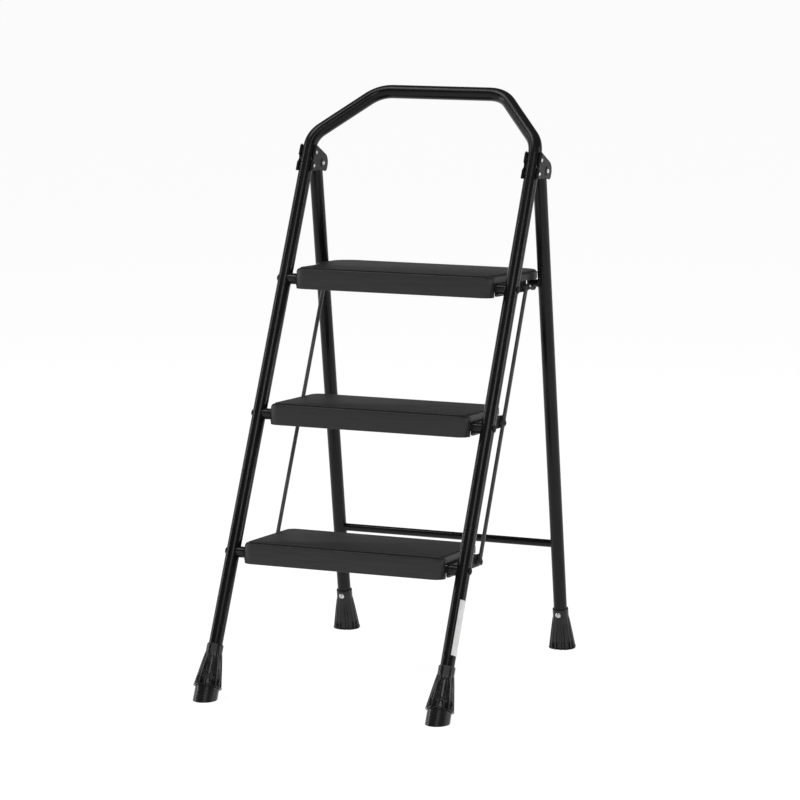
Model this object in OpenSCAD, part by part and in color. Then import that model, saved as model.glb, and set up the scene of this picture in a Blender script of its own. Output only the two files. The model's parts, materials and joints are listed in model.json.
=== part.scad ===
// Three-step folding step ladder with a bent-tube hand rail.
// Frame: +Z up, X across the ladder, +Y from the climbing side to the rear legs.
// The origin is on the floor, under the middle of the open ladder.

/* [Front frame] */
// Outside diameter of the rail and leg tubes
tube_d = 25.4; // [24:0.1:26]
// Wall thickness of every tube
tube_wall = 1.2; // [0.8:0.1:2]
// Distance from the middle of the ladder to a rail's centre line
rail_x = 225.5; // [225:0.5:230]
// Lean of the front rails from vertical
rail_lean = 26.15; // [25:0.05:27]
// Height of the point where the rails turn into the hand-rail hoop
kink_z = 979.5; // [970:0.5:1000]
// Lean of the hoop from vertical
hoop_lean = 48.9; // [40:0.1:55]
// Length of the hoop above the kink, along its own lean
hoop_rise = 122.9; // [110:0.1:140]
// Half the distance between the two upper corners of the hoop
hoop_half = 124.9; // [110:0.1:140]
// Centre-line radius of every bend in the frame tube
bend_r = 55; // [45:1:60]

/* [Rear frame] */
// Distance on the floor between the front and rear tube centre lines
foot_span = 639.4; // [635:0.1:645]
// Lean of the rear legs from vertical
leg_lean = 8.8; // [8.7:0.05:8.9]
// Outside diameter of the crossbar
bar_d = 14.6; // [12:0.1:16]
// Height of the crossbar
bar_z = 207.8; // [180:0.1:240]
// Height of the rest pins that carry the top step's rear end
rest_pin_z = 715.5; // [715:0.1:716]

/* [Steps] */
// Height of the lowest step's pivot
first_pivot_z = 249.2; // [240:0.1:260]
// Height between two step pivots
step_rise = 237.2; // [235:0.1:240]
// Backward slope of the open steps
step_pitch = 2.7; // [2.5:0.1:2.9]
// Length of the lower two steps behind their pivots
step_back = 166; // [160:1:170]
// Length of the top step behind its pivot
top_back = 215; // [212:1:218]
// Half width of the front apron
apron_half = 195.8; // [195:0.1:196]
// Depth of the front apron below the step's top face
apron_depth = 38; // [34:1:40]

/* [Hinge bracket] */
// Distance from the rail's centre line back to the rear leg's pivot
leg_pivot_back = 36.5; // [36:0.1:38]
// Distance of the rear leg's pivot along the rail, from the floor
leg_pivot_s = 1052; // [1050:0.5:1054]
// Thickness of a hinge cheek
cheek_t = 2.5; // [2:0.1:3]

/* [Feet] */
// Length of a boot along its tube
boot_h = 80; // [76:1:84]
// Largest radius of a boot's skirt
boot_r = 26; // [25:0.5:27]
// Radius of the rubber pad under a boot
pad_r = 21.8; // [21:0.1:22]

/* [Hidden] */
$fn = 96;

black_steel = [0.05, 0.05, 0.055];
black_plastic = [0.09, 0.09, 0.095];
grey_plastic = [0.2, 0.2, 0.21];
grey_mat = [0.24, 0.24, 0.25];
bright_steel = [0.75, 0.75, 0.77];
black_rubber = [0.07, 0.07, 0.07];

// Fits and gaps
run_fit = 0.05;     // radial clearance of a turning pin
side_gap = 0.3;     // between two bodies that slide past each other
push_fit = 0.05;    // radial clearance of a pushed-on or drilled piece
far = 1000;         // size of a block that cuts away a half-space

tube_r = tube_d / 2;
bore_r = tube_r - tube_wall;
bar_r = bar_d / 2;
bend_lap = 0.5;     // a straight run reaches this far into a bend
bend_step = 0.02;   // a bend is drawn in by the bending, by this much
tube_end_s = 14;    // a tube stops this far above the floor, along its own length

// The front pads and the rear boots are the ends of the ladder on the floor.
mid_y = (foot_span + boot_r / cos(leg_lean) - pad_r / cos(rail_lean)) / 2;

// Rail coordinates are [x, u, s]: u behind the rail's centre line, s along it.
kink_s = kink_z / cos(rail_lean);
hoop_tilt = hoop_lean - rail_lean;
hoop_u = hoop_rise * sin(hoop_tilt);
hoop_s = kink_s + hoop_rise * cos(hoop_tilt);
leg_pivot_y = leg_pivot_s * sin(rail_lean) + leg_pivot_back * cos(rail_lean);
leg_pivot_z = leg_pivot_s * cos(rail_lean) - leg_pivot_back * sin(rail_lean);
leg_tilt = atan((foot_span - leg_pivot_y) / leg_pivot_z);
leg_len = leg_pivot_z / cos(leg_tilt);
leg_top = 13;       // the leg's tube ends this far above its pivot

pivot_z = [first_pivot_z + 2 * step_rise, first_pivot_z + step_rise, first_pivot_z];
TOP = 0;
MIDDLE = 1;
BOTTOM = 2;

// Hinge bracket, in rail coordinates
cheek_gap = tube_r + side_gap;
cheek_front_u = -8;
cheek_top_s = 1072;
cheek_low_s = 1018;
cheek_back_u = 59;
rivet_s = [1032, 1059];
rivet_r = 2.5;
rivet_head_r = 4.2;
bead_r = 1.8;
waist_s = 1044;     // the front edge is waisted between the two rivets
waist_r = 7;
waist_depth = 2.6;
rivet_head_h = 2.4;
leg_pin_r = 4;
sleeve_r = 5.5;

// Step, in its own coordinates [x, u, v]: u behind the pivot, v above it
apron_front_u = -30;
apron_back_u = -9.5;
apron_corner_r = 20.4;
body_top_v = 22;
apron_low_v = body_top_v - apron_depth;
plastic_t = 3;
body_half = 189.5;
skirt_low_v = 8;
mat_t = 2.2;
mat_inset = 3;      // the mat's edge inside the body's
mat_front_u = -24;
mat_corner_r = 9;
wing_half = 208;    // half width of the top step's rear part
web_out = 199;      // outer face of a side bracket
web_t = 3;
web_low_v = -14;
flange_in = 175;    // inner edge of a side bracket's flange
flange_t = 2.5;
flange_front_u = 10;
brace_u = [12, 108];
brace_w = 25;
screw_x = 150;
bolt_r = 4;
bush_r = 9;
rib_count = 14;
link_u = 136;       // link pin behind the step's pivot
link_v = -5;
link_pin_r = 3;
rod_x = 203.1;
rod_r = 3.8;
eye_r = 6;
latch_u = 187.5;    // pivot of a latch lever, behind the rest pin
latch_v = -7.6;
latch_t = 2.5;

rest_pin_y = foot_span - rest_pin_z * tan(leg_tilt);
rest_pin_r = 4;
rest_sleeve_r = 5.8;
rest_pin_x = 194;   // inner end of a rest pin
top_pivot_y = pivot_z[TOP] * tan(rail_lean);
// The rest pins in the top step's own coordinates
seat_u = (rest_pin_y - top_pivot_y) * cos(step_pitch)
    - (rest_pin_z - pivot_z[TOP]) * sin(step_pitch);
seat_v = (rest_pin_y - top_pivot_y) * sin(step_pitch)
    + (rest_pin_z - pivot_z[TOP]) * cos(step_pitch);
seat_r = rest_sleeve_r + 0.6;

// ---------- places ----------

module placed() {
    translate([0, -mid_y, 0]) children();
}

// Rail coordinates of one side (-1 left, 1 right)
module on_rail(side) {
    placed() translate([side * rail_x, 0, 0]) rotate([-rail_lean, 0, 0]) children();
}

// Leg coordinates: z runs up the leg from the floor
module on_leg(side) {
    placed() translate([side * rail_x, foot_span, 0]) rotate([leg_tilt, 0, 0]) children();
}

// A step's coordinates, with the origin on its pivot axis
module on_step(step) {
    placed() translate([0, pivot_z[step] * tan(rail_lean), pivot_z[step]])
        rotate([-step_pitch, 0, 0]) children();
}

module both_sides() {
    children();
    mirror([1, 0, 0]) children();
}

// A flat outline in (u, v) made into a plate from x0 to x0 + t
module side_plate(x0, t) {
    translate([x0, 0, 0]) rotate([90, 0, 90]) linear_extrude(t) children();
}

// A cylinder along +X from x0
module x_pin(x0, len, r) {
    translate([x0, 0, 0]) rotate([0, 90, 0]) cylinder(h = len, r = r);
}

// Everything below the floor
module below_floor() {
    translate([-far, -far, -far]) cube([2 * far, 3 * far, far]);
}

// ---------- general shapes ----------

function unit(v) = v / norm(v);
function turn(a, b) = acos(unit(a) * unit(b));
function arc(cx, cy, r, from, to, n) =
    [for (i = [0 : n]) [cx + r * cos(from + (to - from) * i / n),
                        cy + r * sin(from + (to - from) * i / n)]];

// Puts the X, Y and Z axes on three perpendicular unit vectors at a point
module axes_at(o, x, y, z) {
    multmatrix([[x[0], y[0], z[0], o[0]], [x[1], y[1], z[1], o[1]],
                [x[2], y[2], z[2], o[2]], [0, 0, 0, 1]]) children();
}

module rod_between(p, q, r) {
    z = unit(q - p);
    x = unit(cross(abs(z[0]) < 0.9 ? [1, 0, 0] : [0, 1, 0], z));
    axes_at(p, x, cross(z, x), z) cylinder(h = norm(q - p), r = r);
}

// The curved part of a bent tube, at a corner between two directions
module bend(corner, d_in, d_out, r) {
    angle = turn(d_in, d_out);
    inward = unit(d_out - (d_in * d_out) * d_in);
    centre = corner - d_in * bend_r * tan(angle / 2) + inward * bend_r;
    axes_at(centre, -inward, d_in, cross(-inward, d_in))
        rotate_extrude(angle = angle) translate([bend_r, 0]) circle(r = r);
}

// A tube run through a list of points, with a bend at each inner one
module bent_rod(points, r) {
    last = len(points) - 1;
    dirs = [for (i = [0 : last - 1]) unit(points[i + 1] - points[i])];
    cut = [for (i = [0 : last])
        i == 0 || i == last ? 0 : bend_r * tan(turn(dirs[i - 1], dirs[i]) / 2)];
    for (i = [0 : last - 1])
        rod_between(points[i] + dirs[i] * (cut[i] - (i == 0 ? 0 : bend_lap)),
            points[i + 1] - dirs[i] * (cut[i + 1] - (i == last - 1 ? 0 : bend_lap)), r);
    for (i = [1 : last - 1])
        bend(points[i], dirs[i - 1], dirs[i], r - bend_step);
}

// A domed head standing on the XY plane
module dome(r, h) {
    ball_r = (r * r + h * h) / (2 * h);
    intersection() {
        translate([0, 0, h - ball_r]) sphere(r = ball_r);
        cylinder(h = h, r = r);
    }
}

// A rivet along +X with a domed head at each end
module x_rivet(x0, x1, r, head_r, head_h) {
    x_pin(x0, x1 - x0, r);
    translate([x1, 0, 0]) rotate([0, 90, 0]) dome(head_r, head_h);
    translate([x0, 0, 0]) rotate([0, -90, 0]) dome(head_r, head_h);
}

// A plan outline with its own corner radii at the front and the back
module plan(half, front, back, r_front, r_back) {
    translate([-half, front + r_front]) square([2 * half, back - front - r_front - r_back]);
    translate([r_front - half, front]) square([2 * (half - r_front), r_front + 1]);
    translate([r_back - half, back - r_back - 1]) square([2 * (half - r_back), r_back + 1]);
    for (s = [-1, 1]) {
        translate([s * (half - r_front), front + r_front]) circle(r = r_front);
        translate([s * (half - r_back), back - r_back]) circle(r = r_back);
    }
}

// ---------- front frame ----------

module frame_path(r, extra) {
    foot = [rail_x, 0, tube_end_s - extra];
    kink = [rail_x, 0, kink_s];
    corner = [hoop_half, hoop_u, hoop_s];
    flip = [-1, 1, 1];
    bent_rod([foot, kink, corner,
        [-corner[0], corner[1], corner[2]], [-kink[0], kink[1], kink[2]],
        [-foot[0], foot[1], foot[2]]], r);
}

module front_frame_tube() {
    color(black_steel) placed() difference() {
        rotate([-rail_lean, 0, 0]) difference() {
            frame_path(tube_r, 0);
            frame_path(bore_r, 1);
            for (side = [-1, 1]) {
                for (s = rivet_s)
                    translate([side * rail_x, 0, s]) x_pin(-tube_d, 2 * tube_d, rivet_r + push_fit);
                translate([side * rail_x, 0, front_screw_s]) rotate([-90, 0, boot_turn])
                    cylinder(h = tube_d, r = screw_hole_r);
            }
        }
        for (z = pivot_z)
            translate([0, z * tan(rail_lean), z]) both_sides()
                x_pin(rail_x - tube_d, 2 * tube_d, bolt_r + push_fit);
    }
}

module cheek_outline() {
    difference() {
        cheek_blank();
        translate([cheek_front_u - waist_r + waist_depth, waist_s]) circle(r = waist_r);
    }
}

module cheek_blank() {
    polygon(concat(
        [[cheek_front_u, cheek_low_s], [cheek_front_u, cheek_top_s]],
        arc(cheek_back_u - 17, cheek_top_s - 17, 17, 90, 0, 12),
        arc(cheek_back_u - 9, cheek_top_s - 22, 9, 0, -90, 8),
        [[42, cheek_top_s - 32]]));
}

// One cheek; outward is 1 when its visible face looks along +X, -1 along -X
module cheek(side, x0, outward) {
    face = outward > 0 ? x0 + cheek_t : x0;
    color(black_steel) on_rail(side) difference() {
        union() {
            side_plate(x0, cheek_t) cheek_outline();
            for (run = [[cheek_low_s + 2, waist_s - 7], [waist_s + 7, cheek_top_s - 2]])
                translate([face, cheek_front_u + bead_r, run[0]])
                    cylinder(h = run[1] - run[0], r = bead_r);
            translate([outward > 0 ? face : face - 1, leg_pivot_back, leg_pivot_s])
                x_pin(0, 1, 8.5);
        }
        translate([0, leg_pivot_back, leg_pivot_s]) x_pin(x0 - 5, 12, leg_pin_r + push_fit);
        for (s = rivet_s)
            translate([0, 0, s]) x_pin(x0 - 5, 12, rivet_r + push_fit);
        // the inner face stays flat against the tubes
        translate([outward > 0 ? x0 - 5 : x0 + cheek_t, -20, cheek_low_s - 5])
            cube([5, 100, 80]);
    }
}

module rail_rivets() {
    color(bright_steel) for (side = [-1, 1])
        on_rail(side) for (s = rivet_s)
            translate([0, 0, s]) x_rivet(-cheek_gap - cheek_t, cheek_gap + cheek_t,
                rivet_r, rivet_head_r, rivet_head_h);
}

module leg_pivot_rivets() {
    color(bright_steel) for (side = [-1, 1])
        on_rail(side) translate([0, leg_pivot_back, leg_pivot_s])
            x_rivet(-cheek_gap - cheek_t - 1, cheek_gap + cheek_t + 1, leg_pin_r,
                rivet_head_r + 0.4, rivet_head_h);
}

// Bolts through the rails that the steps turn on
module step_pivot_bolts() {
    head = 3;
    color(black_steel) placed() for (z = pivot_z)
        translate([0, z * tan(rail_lean), z]) both_sides() {
            x_pin(web_out - web_t - side_gap - head, rail_x + tube_r - web_out + web_t
                + side_gap + head + 0.5, bolt_r);
            x_pin(web_out - web_t - side_gap - head, head, 7);
            translate([rail_x + tube_r, 0, 0]) rotate([0, 90, 0]) dome(7, head);
        }
}

// Ribbed spacers between the side brackets and the rails
module step_pivot_bushes() {
    start = web_out + side_gap;
    color(black_plastic) for (z = pivot_z, side = [-1, 1])
        placed() translate([0, z * tan(rail_lean), z]) mirror([side < 0 ? 1 : 0, 0, 0])
            difference() {
                union() {
                    x_pin(start, rail_x - start, bush_r);
                    for (i = [0 : rib_count - 1])
                        rotate([i * 360 / rib_count, 0, 0])
                            translate([start, -0.9, bush_r - 0.5]) cube([rail_x - start, 1.8, 1.7]);
                }
                x_pin(start - 1, rail_x, bolt_r + push_fit);
                translate([rail_x, 0, 0]) rotate([-rail_lean, 0, 0])
                    cylinder(h = 80, r = tube_r + push_fit, center = true);
            }
}

// ---------- feet ----------

boot_collar_r = 15.2;
collar_h = 16;
boot_hollow_r = 22.6;
rim_h = 2.6;
boot_ribs = 14;
boot_turn = 20;         // the front boots are turned this far on their rails
front_boot_s = 22.5;    // bottom of a front boot's skirt above the floor
boot_screw_h = 70;      // screw above the bottom of the skirt
screw_hole_r = 2;
front_screw_s = front_boot_s + boot_screw_h;
neck_h = boot_h - collar_h;

// Radius of the skirt at a height between its ribs, and over them
function skirt_r(h) = boot_collar_r
    + (boot_r - 2.4 - boot_collar_r) * pow(1 - h / neck_h, 0.95);
function rib_r(h) = skirt_r(h) + 0.3 + 1.9 * pow(1 - h / neck_h, 0.8);
skirt_profile = [for (i = [0 : 8]) [skirt_r(i * neck_h / 8), i * neck_h / 8]];
rib_profile = [for (i = [0 : 8]) [rib_r(i * neck_h / 8), i * neck_h / 8]];

// A boot standing on z = 0; its screw looks along +Y
module boot() {
    difference() {
        union() {
            rotate_extrude() polygon(concat([[0, 0]], skirt_profile,
                [[boot_collar_r, boot_h], [0, boot_h]]));
            cylinder(h = rim_h, r = boot_r);
            for (i = [0 : boot_ribs - 1])
                rotate([0, 0, (i + 0.5) * 360 / boot_ribs]) rotate([90, 0, 0])
                    translate([0, 0, -2.1]) linear_extrude(4.2) polygon(concat(
                        [[14, 0]], rib_profile, [[14, neck_h + 1]]));
            // raised panel opposite the screw
            translate([-5.5, -boot_collar_r - 1.1, 52]) cube([11, 6, boot_h - 53]);
        }
        translate([0, 0, -1]) cylinder(h = boot_h + 2, r = tube_r + push_fit);
        rotate_extrude() polygon([[0, -1], [boot_hollow_r, -1], [boot_hollow_r, rim_h],
            [tube_r + 0.5, neck_h * 0.75], [0, neck_h * 0.75]]);
        translate([0, 0, boot_screw_h]) rotate([-90, 0, 0]) cylinder(h = 40, r = screw_hole_r);
    }
}

// A rubber pad: a plug around the tube's end, flat on the floor
module pad(outer_r, shoulder_s) {
    difference() {
        union() {
            translate([0, 0, -20]) cylinder(h = 20 + shoulder_s, r = outer_r);
            cylinder(h = 32, r = tube_r + 1.3);
        }
        translate([0, 0, tube_end_s]) cylinder(h = 60, r = tube_r + push_fit);
    }
}

module boot_screw() {
    translate([0, boot_collar_r - 0.3, 0]) rotate([-90, 0, 0]) difference() {
        dome(5.2, 2.6);
        translate([-6, -0.6, 1.5]) cube([12, 1.2, 3]);
    }
    translate([0, bore_r - 6, 0]) rotate([-90, 0, 0])
        cylinder(h = boot_collar_r - bore_r + 6, r = screw_hole_r - push_fit);
}

module front_boot(side) {
    color(black_plastic) on_rail(side) translate([0, 0, front_boot_s])
        rotate([0, 0, boot_turn]) boot();
}

module front_pad(side) {
    color(black_rubber) difference() {
        on_rail(side) pad(pad_r, front_boot_s + 2);
        below_floor();
    }
}

module front_boot_screws() {
    color(bright_steel) for (side = [-1, 1])
        on_rail(side) translate([0, 0, front_screw_s]) rotate([0, 0, boot_turn]) boot_screw();
}

// A blank paper label wrapped on the outside of the right rail
module blank_label() {
    color("white") on_rail(1) translate([0, 0, 122]) rotate([0, 0, -55])
        rotate_extrude(angle = 110) translate([tube_r + push_fit, 0]) square([0.3, 101]);
}

// ---------- rear frame ----------

module rear_leg(side) {
    color(black_steel) difference() {
        on_leg(side) difference() {
            translate([0, 0, tube_end_s]) cylinder(h = leg_len + leg_top - tube_end_s, r = tube_r);
            translate([0, 0, tube_end_s - 1]) cylinder(h = leg_len + leg_top, r = bore_r);
            translate([0, 0, leg_len]) x_pin(-tube_d, 2 * tube_d, sleeve_r);
            translate([0, 0, boot_screw_h]) rotate([90, 0, 0])
                cylinder(h = tube_d, r = screw_hole_r);
        }
    }
}

// The crossbar between the legs, cut to the legs' round sides
module rear_crossbar() {
    color(black_steel) difference() {
        placed() translate([0, foot_span - bar_z * tan(leg_tilt), bar_z]) difference() {
            x_pin(-rail_x, 2 * rail_x, bar_r);
            x_pin(-rail_x - 1, 2 * rail_x + 2, bar_r - tube_wall);
        }
        for (side = [-1, 1]) on_leg(side) cylinder(h = leg_len, r = tube_r);
    }
}

// Pins welded to the legs' inner sides, and the sleeves on them, which carry the top step
module rest_pins() {
    color(bright_steel) difference() {
        placed() translate([0, rest_pin_y, rest_pin_z]) both_sides()
            x_pin(rest_pin_x, rail_x - rest_pin_x, rest_pin_r);
        for (side = [-1, 1]) on_leg(side) cylinder(h = leg_len, r = tube_r);
    }
}

module rest_pin_sleeves() {
    color(black_plastic) difference() {
        placed() translate([0, rest_pin_y, rest_pin_z]) both_sides() difference() {
            union() {
                x_pin(rest_pin_x, rail_x - rest_pin_x, rest_sleeve_r);
                x_pin(208, rail_x - 208, rest_sleeve_r + 1.4);
            }
            x_pin(rest_pin_x - 1, rail_x, rest_pin_r + push_fit);
        }
        for (side = [-1, 1]) on_leg(side) cylinder(h = leg_len, r = tube_r + push_fit);
    }
}

module leg_end_caps() {
    color(black_plastic) for (side = [-1, 1])
        on_leg(side) translate([0, 0, leg_len + leg_top]) {
            translate([0, 0, -5]) cylinder(h = 5.5, r = bore_r - push_fit);
            dome(tube_r, 4);
        }
}

module leg_pivot_sleeves() {
    color(black_plastic) for (side = [-1, 1])
        on_leg(side) translate([0, 0, leg_len]) difference() {
            x_pin(-tube_r, tube_d, sleeve_r - push_fit);
            x_pin(-tube_d, 2 * tube_d, leg_pin_r + run_fit);
        }
}

module rear_boot(side) {
    color(black_plastic) difference() {
        on_leg(side) mirror([0, 1, 0]) union() {
            boot();
            difference() {
                translate([0, 0, -6]) cylinder(h = 6.5, r = boot_r);
                translate([0, 0, -7]) cylinder(h = 9, r = boot_hollow_r);
            }
        }
        below_floor();
    }
}

module rear_pad(side) {
    color(black_rubber) difference() {
        on_leg(side) pad(pad_r, 5);
        below_floor();
    }
}

module rear_boot_screws() {
    color(bright_steel) for (side = [-1, 1])
        on_leg(side) translate([0, 0, boot_screw_h]) mirror([0, 1, 0]) boot_screw();
}

// ---------- steps ----------

function back_u(step) = step == TOP ? top_back : step_back;
function back_r(step) = step == TOP ? 42 : 20;

// Plan outline of the front apron, drawn in from its faces by a distance
module apron_plan(inset) {
    intersection() {
        plan(apron_half - inset, apron_front_u + inset, 60, apron_corner_r - inset, 5);
        translate([-far, -far]) square([2 * far, far + apron_back_u + inset / 2]);
    }
}

// Plan outline of a step; the top step widens at the back
module step_plan(step, front, r_front, inset) {
    half = body_half - inset;
    wing = wing_half - inset;
    plan(half, front, back_u(step) - inset, r_front, back_r(step) - inset);
    if (step == TOP) {
        intersection() {
            plan(wing, front, top_back - inset, r_front, back_r(step) - inset);
            translate([-far, 100]) square([2 * far, far]);
        }
        polygon([[half, 70], [wing, 101], [-wing, 101], [-half, 70]]);
    }
}

module body_plan(step, inset) {
    step_plan(step, apron_front_u + 8 + inset, 14 - inset, inset);
}

module step_body(step) {
    back = back_u(step);
    color(grey_plastic) on_step(step) difference() {
        union() {
            difference() {
                translate([0, 0, apron_low_v]) linear_extrude(apron_depth) apron_plan(0);
                translate([0, 0, apron_low_v - 1]) linear_extrude(apron_depth - plastic_t + 1)
                    apron_plan(plastic_t);
            }
            difference() {
                translate([0, 0, skirt_low_v]) linear_extrude(body_top_v - skirt_low_v)
                    body_plan(step, 0);
                translate([0, 0, skirt_low_v - 1])
                    linear_extrude(body_top_v - skirt_low_v - plastic_t + 1)
                    body_plan(step, plastic_t);
            }
            // stiffening ribs under the tread
            for (x = [-120, -60, 0, 60, 120])
                translate([x - 1.25, apron_front_u + 10, skirt_low_v])
                    cube([2.5, back - apron_front_u - 12, body_top_v - skirt_low_v - 1]);
            for (x = [-screw_x, screw_x], u = brace_u)
                translate([x, u + brace_w / 2, skirt_low_v])
                    cylinder(h = body_top_v - skirt_low_v - 1, r = 5);
        }
        for (x = [-screw_x, screw_x], u = brace_u)
            translate([x, u + brace_w / 2, skirt_low_v - 1]) cylinder(h = 10, r = 1.75 + push_fit);
    }
}

module tread_mat(step) {
    color(grey_mat) on_step(step) translate([0, 0, body_top_v]) linear_extrude(mat_t)
        step_plan(step, mat_front_u, mat_corner_r, mat_inset);
}

// The notch over a rest pin, open downwards and slanted forwards along the pin's way out
module seat_slot() {
    translate([seat_u, seat_v]) circle(r = seat_r);
    polygon([[seat_u - 0.857 * seat_r, seat_v + 0.515 * seat_r], [seat_u + seat_r, seat_v],
        [seat_u + seat_r, web_low_v - 1], [seat_u - seat_r - 13, web_low_v - 1]]);
}

function web_back_u(step) = step == TOP ? seat_u + 24 : 150;

module web_outline(step) {
    back = web_back_u(step);
    difference() {
        union() {
            translate([-9, web_low_v + 5]) square([back + 9, skirt_low_v - web_low_v - 5]);
            translate([-4, web_low_v]) square([back - 1, 6]);
            translate([-4, web_low_v + 5]) circle(r = 5);
            translate([back - 5, web_low_v + 5]) circle(r = 5);
        }
        circle(r = bolt_r + run_fit);
        translate([link_u, link_v]) circle(r = link_pin_r + push_fit);
        if (step == TOP) {
            seat_slot();
            translate([146, -3.5]) square([12, 9.5]);
            translate([latch_u, latch_v]) circle(r = 2.5 + push_fit);
        }
    }
}

module side_bracket(step, side) {
    back = step == TOP ? seat_u - 14 : 140;
    color(black_steel) on_step(step) mirror([side < 0 ? 1 : 0, 0, 0]) {
        side_plate(web_out - web_t, web_t) web_outline(step);
        translate([flange_in, flange_front_u, skirt_low_v - flange_t])
            cube([web_out - web_t - flange_in, back - flange_front_u, flange_t]);
    }
}

module cross_braces(step) {
    color(black_steel) on_step(step) for (u = brace_u)
        difference() {
            translate([-flange_in, u, skirt_low_v - flange_t])
                cube([2 * flange_in, brace_w, flange_t]);
            for (x = [-screw_x, screw_x])
                translate([x, u + brace_w / 2, 0]) cylinder(h = 20, r = 2.2);
        }
}

module tread_screws(step) {
    color(bright_steel) on_step(step) for (x = [-screw_x, screw_x], u = brace_u)
        translate([x, u + brace_w / 2, skirt_low_v - flange_t]) {
            mirror([0, 0, 1]) dome(4, 2.2);
            cylinder(h = 10, r = 1.75);
        }
}

module link_rivets(step) {
    color(bright_steel) on_step(step) translate([0, link_u, link_v]) both_sides()
        x_rivet(web_out - web_t, rod_x + rod_r + side_gap, link_pin_r, 4.8, 1.8);
}

// A rod joining the three steps on one side, with an eye on each link pin
module link_rod(side) {
    color(black_steel) placed() difference() {
        union() {
            for (i = [TOP, MIDDLE, BOTTOM])
                translate(link_point(i)) mirror([side < 0 ? 1 : 0, 0, 0])
                    x_pin(rod_x - rod_r, 2 * rod_r, eye_r);
            rod_between(link_point(BOTTOM) + [side * rod_x, 0, 0],
                link_point(TOP) + [side * rod_x, 0, 0], rod_r - 0.1);
        }
        for (i = [TOP, MIDDLE, BOTTOM])
            translate(link_point(i)) mirror([side < 0 ? 1 : 0, 0, 0])
                x_pin(rod_x - 10, 20, link_pin_r + run_fit);
    }
}

module latch_rivets() {
    color(bright_steel) on_step(TOP) translate([0, latch_u, latch_v]) both_sides()
        x_rivet(web_out - web_t, web_out + 2 * side_gap + latch_t, 2.5, 4, 1.6);
}

// A lever whose arm lies under the rest pin and keeps the top step down on it.
// It turns on the bracket behind the pin, so its front end swings down to let the pin out.
module latch_lever(side) {
    color(black_steel) on_step(TOP) mirror([side < 0 ? 1 : 0, 0, 0]) difference() {
        side_plate(web_out + side_gap, latch_t) {
            translate([latch_u, latch_v]) circle(r = 4.8);
            polygon([[latch_u, latch_v - 4.6], [latch_u - 2, -14], [latch_u - 5, -13.6],
                [latch_u - 7, -11.2], [154, -11.2], [149, -9.2], [149, -7.4],
                [153, -6.3], [latch_u - 9, -6.3], [latch_u - 4.4, -3.6],
                [latch_u - 2.6, -0.6], [latch_u + 1.6, -0.8], [latch_u + 4, latch_v + 2.4]]);
        }
        translate([0, latch_u, latch_v]) x_pin(web_out - 5, 12, 2.5 + run_fit);
    }
}

// The link pin of a step, before the ladder is centred
function link_point(i) = [0,
    pivot_z[i] * tan(rail_lean) + link_u * cos(step_pitch) + link_v * sin(step_pitch),
    pivot_z[i] - link_u * sin(step_pitch) + link_v * cos(step_pitch)];

front_frame_tube();
cheek(-1, -cheek_gap - cheek_t, -1);  // hinge_cheek_left_outer
cheek(-1, cheek_gap, 1);  // hinge_cheek_left_inner
cheek(1, -cheek_gap - cheek_t, -1);  // hinge_cheek_right_inner
cheek(1, cheek_gap, 1);  // hinge_cheek_right_outer
rail_rivets();
leg_pivot_rivets();
step_pivot_bolts();
step_pivot_bushes();
front_boot(-1);  // front_boot_left
front_boot(1);  // front_boot_right
front_pad(-1);  // front_pad_left
front_pad(1);  // front_pad_right
front_boot_screws();
blank_label();
rear_leg(-1);  // rear_leg_left
rear_leg(1);  // rear_leg_right
rear_crossbar();
rest_pins();
rest_pin_sleeves();
leg_end_caps();
leg_pivot_sleeves();
rear_boot(-1);  // rear_boot_left
rear_boot(1);  // rear_boot_right
rear_pad(-1);  // rear_pad_left
rear_pad(1);  // rear_pad_right
rear_boot_screws();
step_body(TOP);  // step_body_top
tread_mat(TOP);  // tread_mat_top
side_bracket(TOP, -1);  // side_bracket_top_left
side_bracket(TOP, 1);  // side_bracket_top_right
cross_braces(TOP);  // cross_braces_top
tread_screws(TOP);  // tread_screws_top
link_rivets(TOP);  // link_rivets_top
step_body(MIDDLE);  // step_body_middle
tread_mat(MIDDLE);  // tread_mat_middle
side_bracket(MIDDLE, -1);  // side_bracket_middle_left
side_bracket(MIDDLE, 1);  // side_bracket_middle_right
cross_braces(MIDDLE);  // cross_braces_middle
tread_screws(MIDDLE);  // tread_screws_middle
link_rivets(MIDDLE);  // link_rivets_middle
step_body(BOTTOM);  // step_body_bottom
tread_mat(BOTTOM);  // tread_mat_bottom
side_bracket(BOTTOM, -1);  // side_bracket_bottom_left
side_bracket(BOTTOM, 1);  // side_bracket_bottom_right
cross_braces(BOTTOM);  // cross_braces_bottom
tread_screws(BOTTOM);  // tread_screws_bottom
link_rivets(BOTTOM);  // link_rivets_bottom
link_rod(-1);  // link_rod_left
link_rod(1);  // link_rod_right
latch_rivets();
latch_lever(-1);  // latch_lever_left
latch_lever(1);  // latch_lever_right
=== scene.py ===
"""Looks of the folding step ladder: camera, light, materials and detailed pieces."""

import json
import math

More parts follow.
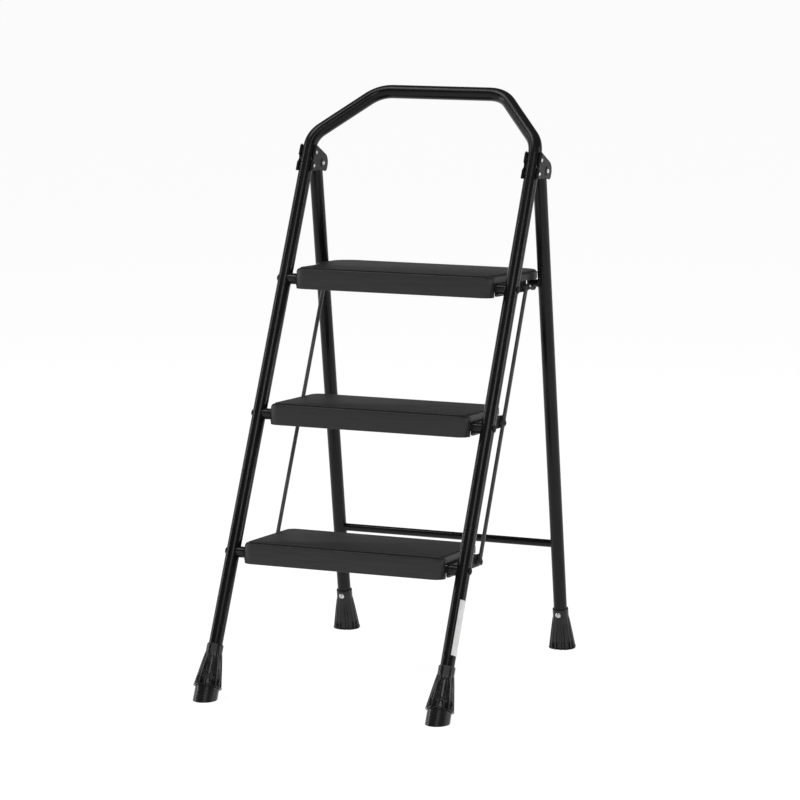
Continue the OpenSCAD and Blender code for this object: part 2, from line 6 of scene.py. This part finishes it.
import bmesh
import bpy
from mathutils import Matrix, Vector


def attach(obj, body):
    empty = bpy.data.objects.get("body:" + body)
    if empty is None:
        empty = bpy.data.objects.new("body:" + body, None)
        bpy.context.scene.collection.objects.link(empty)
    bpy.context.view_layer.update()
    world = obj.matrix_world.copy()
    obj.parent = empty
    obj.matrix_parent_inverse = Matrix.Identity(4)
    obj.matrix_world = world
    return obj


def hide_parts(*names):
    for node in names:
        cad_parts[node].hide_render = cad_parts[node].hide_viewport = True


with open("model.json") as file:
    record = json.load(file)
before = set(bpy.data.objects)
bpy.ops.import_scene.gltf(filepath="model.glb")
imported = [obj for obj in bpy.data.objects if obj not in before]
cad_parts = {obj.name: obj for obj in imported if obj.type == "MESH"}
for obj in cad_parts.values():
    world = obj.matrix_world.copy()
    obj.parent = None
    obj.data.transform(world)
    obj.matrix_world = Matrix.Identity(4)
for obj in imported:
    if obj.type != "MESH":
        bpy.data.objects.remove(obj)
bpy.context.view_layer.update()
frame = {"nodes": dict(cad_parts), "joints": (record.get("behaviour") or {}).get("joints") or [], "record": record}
nodes = frame["nodes"]
scene = bpy.context.scene

# ---------------------------------------------------------------- camera and stage

CAMERA_AT = Vector((2.39992, -5.70735, 1.48839))
CAMERA_AIM = Vector((0.05031, -0.07071, 0.52621))
LENS = 153.57


def make_camera():
    data = bpy.data.cameras.new("camera")
    data.lens = LENS
    data.sensor_width = 36.0
    data.clip_end = 60.0
    cam = bpy.data.objects.new("camera", data)
    scene.collection.objects.link(cam)
    cam.location = CAMERA_AT
    cam.rotation_mode = "QUATERNION"
    cam.rotation_quaternion = (CAMERA_AIM - CAMERA_AT).to_track_quat("-Z", "Y")
    scene.camera = cam


def area_light(name, at, aim, size, watts, size_y=None):
    data = bpy.data.lights.new(name, "AREA")
    data.shape = "RECTANGLE"
    data.size = size
    data.size_y = size_y or size
    data.energy = watts
    lamp = bpy.data.objects.new(name, data)
    scene.collection.objects.link(lamp)
    lamp.location = at
    lamp.rotation_mode = "QUATERNION"
    lamp.rotation_quaternion = (Vector(aim) - Vector(at)).to_track_quat("-Z", "Y")


def make_world():
    """A white horizon under a dim studio ceiling."""
    world = bpy.data.worlds.new("studio")
    world.use_nodes = True
    tree = world.node_tree
    height = tree.nodes.new("ShaderNodeSeparateXYZ")
    tree.links.new(tree.nodes.new("ShaderNodeTexCoord").outputs["Generated"],
                   height.inputs["Vector"])
    ramp = tree.nodes.new("ShaderNodeValToRGB")
    tree.links.new(height.outputs["Z"], ramp.inputs["Fac"])
    tree.links.new(ramp.outputs["Color"], tree.nodes["Background"].inputs["Color"])
    stops = [(0.0, 1.0), (0.08, 1.0), (0.3, 0.16), (0.6, 0.1), (1.0, 0.3)]
    while len(ramp.color_ramp.elements) < len(stops):
        ramp.color_ramp.elements.new(0.5)
    for element, (at, grey) in zip(ramp.color_ramp.elements, stops):
        element.position = at
        element.color = (grey, grey, grey, 1)
    tree.nodes["Background"].inputs["Strength"].default_value = 1.0
    scene.world = world


def make_stage():
    make_world()
    scene.view_settings.view_transform = "Standard"
    bpy.ops.mesh.primitive_plane_add(size=600, location=(0, 0, 0))
    floor = bpy.context.object
    floor.name = "floor"
    mat = bpy.data.materials.new("floor_pale")
    mat.use_nodes = True
    shader = mat.node_tree.nodes["Principled BSDF"]
    shader.inputs["Base Color"].default_value = (0.3, 0.3, 0.3, 1)
    shader.inputs["Roughness"].default_value = 0.8
    shader.inputs["Specular IOR Level"].default_value = 0.0
    shader.inputs["Emission Color"].default_value = (1, 1, 1, 1)
    shader.inputs["Emission Strength"].default_value = 0.9
    floor.data.materials.append(mat)
    area_light("key", (1.9, -4.2, 4.3), (0, 0, 0.5), 2.2, 50, 1.4)
    area_light("left", (-3.6, -0.6, 1.8), (0, 0, 0.6), 0.5, 26, 2.6)
    area_light("right", (3.3, 1.0, 1.6), (0, 0, 0.6), 0.5, 26, 2.6)
    area_light("top", (-1.25, -0.5, 3.5), (0, -0.1, 0.6), 1.2, 26, 1.2)


# ---------------------------------------------------------------- materials

class Nodes:
    """Adds nodes to one material in a few words."""

    def __init__(self, name):
        self.mat = bpy.data.materials.new(name)
        self.mat.use_nodes = True
        self.tree = self.mat.node_tree
        self.shader = self.tree.nodes["Principled BSDF"]
        self.coords = self.tree.nodes.new("ShaderNodeTexCoord").outputs["Object"]

    def add(self, kind, **values):
        node = self.tree.nodes.new(kind)
        for key, value in values.items():
            if key in node.inputs:
                self.put(node.inputs[key], value)
            else:
                setattr(node, key, value)
        return node

    def put(self, socket, value):
        if isinstance(value, bpy.types.NodeSocket):
            self.tree.links.new(value, socket)
        else:
            socket.default_value = value

    def stretched(self, scale):
        node = self.add("ShaderNodeMapping", Vector=self.coords)
        node.inputs["Scale"].default_value = scale
        return node.outputs["Vector"]

    def noise(self, scale, detail=4.0, rough=0.55, vector=None):
        node = self.add("ShaderNodeTexNoise", Vector=vector or self.coords)
        node.inputs["Scale"].default_value = scale
        node.inputs["Detail"].default_value = detail
        node.inputs["Roughness"].default_value = rough
        return node.outputs["Fac"]

    def spread(self, value, low, high, from_low=0.3, from_high=0.7):
        node = self.add("ShaderNodeMapRange", Value=value)
        node.inputs["From Min"].default_value = from_low
        node.inputs["From Max"].default_value = from_high
        node.inputs["To Min"].default_value = low
        node.inputs["To Max"].default_value = high
        return node.outputs["Result"]

    def ramp(self, value, dark, light, low=0.35, high=0.65):
        node = self.add("ShaderNodeValToRGB", Fac=value)
        node.color_ramp.elements[0].position = low
        node.color_ramp.elements[1].position = high
        node.color_ramp.elements[0].color = (*dark, 1)
        node.color_ramp.elements[1].color = (*light, 1)
        return node.outputs["Color"]

    def mix(self, fac, a, b):
        node = self.tree.nodes.new("ShaderNodeMix")
        node.data_type = "RGBA"
        self.put(node.inputs[0], fac)
        self.put(node.inputs[6], a)
        self.put(node.inputs[7], b)
        return node.outputs[2]

    def bump(self, height, distance, strength=1.0, normal=None):
        node = self.add("ShaderNodeBump", Height=height)
        node.inputs["Distance"].default_value = distance
        node.inputs["Strength"].default_value = strength
        if normal:
            self.put(node.inputs["Normal"], normal)
        return node.outputs["Normal"]

    def rounded(self, radius):
        """The surface's normal with every sharp edge rounded over."""
        node = self.tree.nodes.new("ShaderNodeBevel")
        node.samples = 4
        node.inputs["Radius"].default_value = radius
        return node.outputs["Normal"]

    def edges(self, rounded):
        """1 on sharp edges: rubbed paint on the plates, lighter edges on the mouldings, and a painted highlight on
        the edges of the steps and mats.
        """
        dot = self.tree.nodes.new("ShaderNodeVectorMath")
        dot.operation = "DOT_PRODUCT"
        self.put(dot.inputs[0], rounded)
        self.put(dot.inputs[1], self.add("ShaderNodeNewGeometry").outputs["Normal"])
        return self.spread(dot.outputs["Value"], 1.0, 0.0, 0.82, 0.985)

    def set(self, **values):
        names = {"color": "Base Color", "rough": "Roughness", "metal": "Metallic",
                 "spec": "Specular IOR Level", "normal": "Normal"}
        for key, value in values.items():
            self.put(self.shader.inputs[names[key]], value)
        return self.mat


def gloss_black():
    n = Nodes("gloss_black_powder_coat")
    cloud = n.noise(9, 5)
    peel = n.noise(900, 2)
    color = n.ramp(cloud, (0.004, 0.004, 0.0043), (0.007, 0.007, 0.0073))
    return n.set(color=color, rough=n.spread(n.noise(60, 6), 0.2, 0.29), spec=0.2,
                 normal=n.bump(peel, 0.00006))


def grey_rod():
    n = Nodes("satin_grey_rod")
    color = n.ramp(n.noise(40, 4), (0.05, 0.05, 0.052), (0.075, 0.075, 0.077))
    return n.set(color=color, rough=n.spread(n.noise(90, 4), 0.3, 0.4), spec=0.3,
                 normal=n.bump(n.noise(900, 2), 0.00003))


def plate_black():
    n = Nodes("satin_black_plate")
    color = n.ramp(n.noise(30, 5), (0.006, 0.006, 0.0063), (0.011, 0.011, 0.0115))
    soft = n.rounded(0.0006)
    color = n.mix(n.edges(soft), color, (0.05, 0.05, 0.05, 1))
    return n.set(color=color, rough=n.spread(n.noise(120, 6), 0.34, 0.48), spec=0.12,
                 normal=n.bump(n.noise(1100, 2), 0.00008, normal=soft))


def bright_steel():
    n = Nodes("zinc_plated_steel")
    fine = n.noise(900, 4)
    color = n.ramp(n.noise(220, 4), (0.42, 0.42, 0.44), (0.72, 0.72, 0.74))
    return n.set(color=color, metal=1.0, rough=n.spread(fine, 0.22, 0.42),
                 normal=n.bump(fine, 0.00005))


def step_plastic():
    n = Nodes("streaked_step_plastic")
    streak = n.noise(260, 6, 0.7, n.stretched((0.05, 1, 1)))
    color = n.ramp(streak, (0.015, 0.015, 0.0156), (0.029, 0.029, 0.03), 0.3, 0.75)
    soft = n.rounded(0.001)
    # painted highlight: the sharp edges of the deck and apron are mixed to a lighter colour
    color = n.mix(n.edges(n.rounded(0.0025)), color, (0.036, 0.036, 0.037, 1))
    return n.set(color=color, rough=n.spread(streak, 0.38, 0.5), spec=0.28,
                 normal=n.bump(streak, 0.00012, 0.6, soft))


def mat_rubber():
    n = Nodes("tread_mat_grain")
    streak = n.noise(260, 6, 0.7, n.stretched((0.05, 1, 1)))
    grain = n.noise(1500, 2)
    color = n.ramp(streak, (0.0095, 0.0096, 0.01), (0.0175, 0.0177, 0.0184), 0.3, 0.75)
    soft = n.rounded(0.0013)
    # painted highlight: the mat's rounded edges are mixed to a lighter colour
    color = n.mix(n.edges(n.rounded(0.0028)), color, (0.055, 0.055, 0.057, 1))
    both = n.bump(grain, 0.0001, 0.5, n.bump(streak, 0.00015, 0.6, soft))
    return n.set(color=color, rough=n.spread(streak, 0.5, 0.64), spec=0.24, normal=both)


def black_moulding():
    n = Nodes("satin_black_moulding")
    color = n.ramp(n.noise(45, 5), (0.005, 0.005, 0.0052), (0.01, 0.01, 0.0103))
    soft = n.rounded(0.0007)
    color = n.mix(n.edges(soft), color, (0.03, 0.03, 0.03, 1))
    return n.set(color=color, rough=n.spread(n.noise(90, 4), 0.2, 0.27), spec=0.34,
                 normal=n.bump(n.noise(1300, 3), 0.00002, normal=soft))


def rubber():
    n = Nodes("black_foot_rubber")
    dust = n.noise(25, 6)
    color = n.ramp(dust, (0.006, 0.006, 0.006), (0.013, 0.013, 0.013))
    return n.set(color=color, rough=n.spread(n.noise(160, 5), 0.2, 0.3), spec=0.45,
                 normal=n.bump(n.noise(700, 4), 0.00004))


def paper():
    n = Nodes("blank_paper_label")
    color = n.ramp(n.noise(80, 5), (0.68, 0.68, 0.67), (0.8, 0.8, 0.79))
    return n.set(color=color, rough=0.6, normal=n.bump(n.noise(900, 3), 0.00005))


MATERIALS = {
    "gloss_black_tube": gloss_black(),
    "grey_rod": grey_rod(),
    "black_steel_plate": plate_black(),
    "bright_fastener": bright_steel(),
    "step_plastic": step_plastic(),
    "tread_mat": mat_rubber(),
    "black_plastic": black_moulding(),
    "foot_rubber": rubber(),
    "label_paper": paper(),
}


def dress_cad_nodes():
    for part in frame["record"]["subparts"]:
        obj = nodes[part["node"]]
        obj.data.materials.clear()
        obj.data.materials.append(MATERIALS[part["material_slot"]])


# ---------------------------------------------------------------- meshes

def loft(rings, cap_first=True, cap_last=True):
    """Points and faces of a skin through closed rings of equal length."""
    count = len(rings[0])
    faces = []
    for k in range(len(rings) - 1):
        low, high = k * count, (k + 1) * count
        for i in range(count):
            j = (i + 1) % count
            faces.append((low + i, low + j, high + j, high + i))
    if cap_first:
        faces.append(tuple(reversed(range(count))))
    if cap_last:
        faces.append(tuple(range((len(rings) - 1) * count, len(rings) * count)))
    return [point for ring in rings for point in ring], faces


def make_piece(name, skins, place, body, slot, replaced, sharp=38):
    """One object from closed skins in millimetres, put in the frame by place(x, y, z)."""
    work = bmesh.new()
    for points, faces in skins:
        verts = [work.verts.new(place(*point)) for point in points]
        made = [work.faces.new([verts[i] for i in face]) for face in faces]
        bmesh.ops.recalc_face_normals(work, faces=made)
        bmesh.ops.remove_doubles(work, verts=verts, dist=1e-6)
    bmesh.ops.dissolve_degenerate(work, edges=work.edges, dist=1e-7)
    for face in work.faces:
        face.smooth = True
    for edge in work.edges:
        edge.smooth = edge.calc_face_angle(math.pi) < math.radians(sharp)
    mesh = bpy.data.meshes.new(name)
    work.to_mesh(mesh)
    work.free()
    piece = bpy.data.objects.new(name, mesh)
    scene.collection.objects.link(piece)
    mesh.materials.append(MATERIALS[slot])
    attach(piece, body)
    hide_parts(*replaced)
    return piece


def arc(cx, cy, r, start, end, steps):
    """Points on an arc, in degrees."""
    angles = [math.radians(start + (end - start) * i / steps) for i in range(steps + 1)]
    return [(cx + r * math.cos(a), cy + r * math.sin(a)) for a in angles]


def mix(a, b, t):
    """The value a part t of the way from a to b."""
    return a + (b - a) * t


def smooth(t):
    """0 up to t = 0, 1 from t = 1, and an even rise between."""
    t = min(max(t, 0.0), 1.0)
    return t * t * (3 - 2 * t)


# ---------------------------------------------------------------- places from the frame

MM = 0.001
JOINT_AT = {joint["name"]: Vector(joint["pos_m"]) for joint in frame["joints"]}
FOOT_AT = {mount["name"]: Vector(mount["pos_m"]) for mount in frame["record"]["mounts"]}
STEP_PITCH = math.radians(2.7)


def step_place(step):
    """Step coordinates in mm: x across, u behind the pivot, v above it."""
    origin = Vector((0, *JOINT_AT["fold_" + step].yz))
    u_axis = Vector((0, math.cos(STEP_PITCH), -math.sin(STEP_PITCH)))
    v_axis = Vector((0, math.sin(STEP_PITCH), math.cos(STEP_PITCH)))
    return lambda x, u, v: origin + MM * (Vector((x, 0, 0)) + u * u_axis + v * v_axis)


def tube_place(end, side, turned=0.0):
    """Tube coordinates in mm: z up the tube from the floor, y behind it when turned is 0."""
    foot = FOOT_AT["%s_foot_%s" % (end, side)]
    if end == "front":
        along = (JOINT_AT["fold_top"] - JOINT_AT["fold_bottom"]).normalized()
    else:
        along = JOINT_AT["rear_frame_swing"] - foot
        along.x = 0
        along.normalize()
    across = Vector((1, 0, 0))
    behind = along.cross(across)
    if end == "rear":
        behind.negate()
    cos, sin = math.cos(math.radians(turned)), math.sin(math.radians(turned))
    x_axis, y_axis = cos * across + sin * behind, cos * behind - sin * across
    return lambda x, y, z: foot + MM * (x * x_axis + y * y_axis + z * along)


# ---------------------------------------------------------------- steps

BODY_HALF, BODY_FRONT, BODY_TOP, SKIRT_LOW = 189.5, -22.0, 22.0, 8.0
APRON_HALF, APRON_FRONT, APRON_BACK, APRON_LOW = 195.8, -30.0, -9.5, -16.0
APRON_R = 20.4
WALL = 3.0
BACK = {"top": 215.0, "middle": 166.0, "bottom": 166.0}
BACK_R = {"top": 42.0, "middle": 20.0, "bottom": 20.0}
WING_HALF, WING_FROM, WING_TO = 208.0, 70.0, 101.0
MAT_FRONT, MAT_INSET, MAT_T = -24.0, 3.0, 2.2
RIB_X = (-120, -60, 0, 60, 120)
BOSS_X, BOSS_U = (-150, 150), (24.5, 120.5)


def step_outline(step, front, r_front, inset):
    """Plan outline of a step drawn in by a distance, as (x, u) points."""
    half, r_back, back = BODY_HALF, BACK_R[step], BACK[step]
    right = arc(half - r_front, front + r_front, r_front - inset, -90, 0, 10)
    if step == "top":
        right += [(half - inset, WING_FROM), (WING_HALF - inset, WING_TO)]
        half = WING_HALF
    right += arc(half - r_back, back - r_back, r_back - inset, 0, 90, 16)
    return right + [(-x, u) for x, u in reversed(right)]


def rounded_edge(r, top, steps=4):
    """(inset, height) pairs over a rounded upper edge."""
    turns = [math.radians(90 * i / steps) for i in range(steps + 1)]
    return [(r * (1 - math.cos(a)), top - r + r * math.sin(a)) for a in turns]


def deck_skin(step):
    """The deck with its short skirt, open underneath."""
    profile = [(WALL, BODY_TOP - WALL), (WALL, SKIRT_LOW + 0.5), (WALL - 0.5, SKIRT_LOW),
               (0.5, SKIRT_LOW), (0.0, SKIRT_LOW + 0.5)] + rounded_edge(2.6, BODY_TOP)
    return loft([[(x, u, v) for x, u in step_outline(step, BODY_FRONT, 14.0, inset)]
                 for inset, v in profile])


def mat_skin(step):
    """The raised mat, with a fine groove where it meets the deck."""
    top = BODY_TOP + MAT_T
    profile = [(1.3, BODY_TOP), (1.1, BODY_TOP + 0.35), (0.1, BODY_TOP + 0.5)]
    profile += rounded_edge(1.3, top, 5)
    return loft([[(x, u, v) for x, u in
                  step_outline(step, MAT_FRONT - MAT_INSET, 9.0 + MAT_INSET, MAT_INSET + inset)]
                 for inset, v in profile])


def apron_skin():
    """The deep front edge, whose upper edge rounds more towards its two ends."""
    r = APRON_R
    right = [((1, 0), (APRON_HALF, APRON_BACK), 1.0)]
    for i in range(15):
        a = math.radians(-90 * i / 14)
        right.append(((math.cos(a), math.sin(a)),
                      (APRON_HALF - r + r * math.cos(a), APRON_FRONT + r + r * math.sin(a)),
                      smooth(1.25 - i / 14)))
    stations = right + [((-out[0], out[1]), (-at[0], at[1]), end)
                        for out, at, end in reversed(right)]
    rings = []
    for out, at, end in stations:
        low = APRON_LOW
        profile = [(1.1, low), (0.3, low + 0.3), (0.0, low + 1.1)]
        profile += rounded_edge(mix(2.6, 7.0, end), BODY_TOP, 7)
        profile += [(10.5, BODY_TOP), (10.5, BODY_TOP - WALL), (WALL, BODY_TOP - WALL),
                    (WALL, low + 0.8), (WALL - 0.5, low)]
        rings.append([(at[0] - inset * out[0], at[1] - inset * out[1], v)
                      for inset, v in profile])
    return loft(rings)


def rib_skin(x, u0, u1):
    """A stiffening rib under the deck, thinner towards its lower edge."""
    top = BODY_TOP - 1
    return loft([[(x - w, u0, v), (x + w, u0, v), (x + w, u1, v), (x - w, u1, v)]
                 for w, v in ((0.8, SKIRT_LOW), (1.0, SKIRT_LOW + 0.3), (1.5, top))])


def boss_skin(x, u):
    """A screw boss under the deck."""
    profile = [(1.8, BODY_TOP - 4), (1.8, SKIRT_LOW), (4.6, SKIRT_LOW), (4.9, SKIRT_LOW + 0.4),
               (5.4, BODY_TOP - 1)]
    return loft([[(px, pu, v) for px, pu in arc(x, u, r, 0, 345, 23)] for r, v in profile])


def make_step(step):
    place = step_place(step)
    skins = [deck_skin(step), apron_skin()]
    skins += [rib_skin(x, APRON_FRONT + 10, BACK[step] - 2) for x in RIB_X]
    skins += [boss_skin(x, u) for x in BOSS_X for u in BOSS_U]
    make_piece("moulded_step_" + step, skins, place, "step_" + step, "step_plastic",
               ["step_body_" + step])
    make_piece("raised_mat_" + step, [mat_skin(step)], place, "step_" + step, "tread_mat",
               ["tread_mat_" + step])


# ---------------------------------------------------------------- feet

BOOT_H, NECK_H, COLLAR_R, BOOT_R = 80.0, 64.0, 15.2, 26.0
RIBS, RIB_W = 14, 2.1
SAMPLES = 14 * RIBS
BELOW_FLOOR = -6.0  # rows start here and are cut off by the floor
RIM_H, RIM_OUT = 2.9, 2.4
POCKET_LOW, POCKET_HIGH, POCKET_DEPTH = 3.4, 15.0, 2.6
PANEL_LOW, PANEL_W, PANEL_OUT, PANEL_FLAT = 52.0, 5.5, 16.3, 16.2
FRONT_BOOT_S, BOOT_TURN = 22.5, 20.0
PAD_R, PAD_SIDES, GROOVES, GROOVE_PITCH = 21.8, 96, 13, 2.8
BOOT_ROWS = (0.0, 0.5, 1.2, 2.2, 2.6, 3.2, 3.8, 4.4, 5.4, 8.2, 11.0, 14.0, 15.6, 16.8, 18.2,
             20.5, 23.0, 29.0, 35.0, 41.0, 47.0, 50.0, 51.5, 52.5, 53.5, 55.0, 57.0, 60.0, 63.5,
             65.0, 68.0, 72.0, 76.0, 79.2, 79.7, 80.0)


def boot_radius(h, angle):
    """Radius of a boot's outside at a height and an angle in degrees from its screw."""
    up = max(0.0, 1 - h / NECK_H)
    core = COLLAR_R + (BOOT_R - RIM_OUT - COLLAR_R) * up ** 0.95
    step = 360 / RIBS
    off = abs((angle / step) % 1 - 0.5) * step
    off_mm = math.radians(off) * core
    rib = 1 - smooth((off_mm - RIB_W + 0.9) / 1.1)
    crest = (0.3 + 1.9 * up ** 0.8) if h < NECK_H + 1 else 0.0
    groove = 1.1 * smooth((h - 17) / 4) * up ** 0.4
    r = core + crest * rib - groove * (1 - rib)
    # dark pockets between the ribs, just above the rim
    pocket = smooth(h - POCKET_LOW) * (1 - smooth((h - POCKET_HIGH) / 3.0))
    r -= POCKET_DEPTH * pocket * (1 - rib)
    if h < RIM_H:
        r = BOOT_R - 0.7 * (1 - rib)
    if h < 0.5 or h > BOOT_H - 0.5:
        r -= 0.4
    away = math.radians(angle - 180)
    # a raised panel opposite the screw, with a round lower end
    across = abs(math.sin(away)) * PANEL_OUT
    if math.cos(away) > 0.8 and PANEL_LOW - 1 < h < BOOT_H - 0.6:
        end = math.hypot(across, min(0.0, h - PANEL_LOW - PANEL_W))
        panel = 1 - smooth((end - PANEL_W + 0.7) / 0.8)
        r = mix(r, max(r, PANEL_FLAT / math.cos(away)), panel)
    return r


def boot_skin(floor_slope):
    """A boot's skin, with a lower edge that follows the floor where floor_slope isn't None."""
    inner = [(BOOT_H, 12.75), (48.0, 12.8), (20.0, 15.6), (4.4, 18.6), (2.8, 22.3), (0.4, 22.6),
             (0.0, 22.9)]
    rows = list(BOOT_ROWS)
    if floor_slope is not None:
        rows = [BELOW_FLOOR] + rows[1:]
    rings = []
    for row in rows + inner:
        ring = []
        for i in range(SAMPLES):
            angle = 360 * i / SAMPLES
            h, r = row if isinstance(row, tuple) else (row, boot_radius(max(row, 0.6), angle))
            # the screw looks along +y, so angles run from there
            x, y = -r * math.sin(math.radians(angle)), r * math.cos(math.radians(angle))
            if floor_slope is not None:
                if isinstance(row, tuple) and row[0] == 0.0:
                    h = BELOW_FLOOR
                h = max(h, y * floor_slope)
            ring.append((x, y, h))
        rings.append(ring)
    points, faces = loft(rings, False, False)
    last = (len(rings) - 1) * SAMPLES
    for i in range(SAMPLES):
        j = (i + 1) % SAMPLES
        faces.append((last + i, last + j, j, i))
    return points, faces


def pad_skin(floor_slope):
    """A front pad: fine grooves round it, and flat on the floor."""
    rows = [(-14.0, 0.0)]
    for k in range(GROOVES):
        low = -12.0 + GROOVE_PITCH * k
        rows += [(low, 0.0), (low + 2.1, 0.0), (low + 2.3, 0.4), (low + 2.6, 0.4)]
    rows += [(24.0, 0.0), (24.5, 0.5)]
    rings = []
    for h, inset in rows:
        ring = []
        for i in range(PAD_SIDES):
            a = math.radians(360 * i / PAD_SIDES)
            r = PAD_R - inset
            x, y = r * math.sin(a), r * math.cos(a)
            ring.append((x, y, max(h, y * floor_slope)))
        rings.append(ring)
    return loft(rings)


def make_feet(side):
    lean = (JOINT_AT["fold_top"] - JOINT_AT["fold_bottom"]).normalized()
    rail = tube_place("front", side, BOOT_TURN)
    make_piece("ribbed_front_boot_" + side, [boot_skin(None)],
               lambda x, y, z: rail(x, y, z + FRONT_BOOT_S), "front_frame", "black_plastic",
               ["front_boot_" + side], 46)
    make_piece("grooved_front_pad_" + side, [pad_skin(lean.y / lean.z)],
               tube_place("front", side), "front_frame", "foot_rubber",
               ["front_pad_" + side])
    up = JOINT_AT["rear_frame_swing"] - FOOT_AT["rear_foot_" + side]
    make_piece("ribbed_rear_boot_" + side, [boot_skin(-up.y / up.z)],
               tube_place("rear", side), "rear_frame", "black_plastic",
               ["rear_boot_" + side], 46)


make_camera()
make_stage()
dress_cad_nodes()
for step_name in ("top", "middle", "bottom"):
    make_step(step_name)
for side_name in ("left", "right"):
    make_feet(side_name)
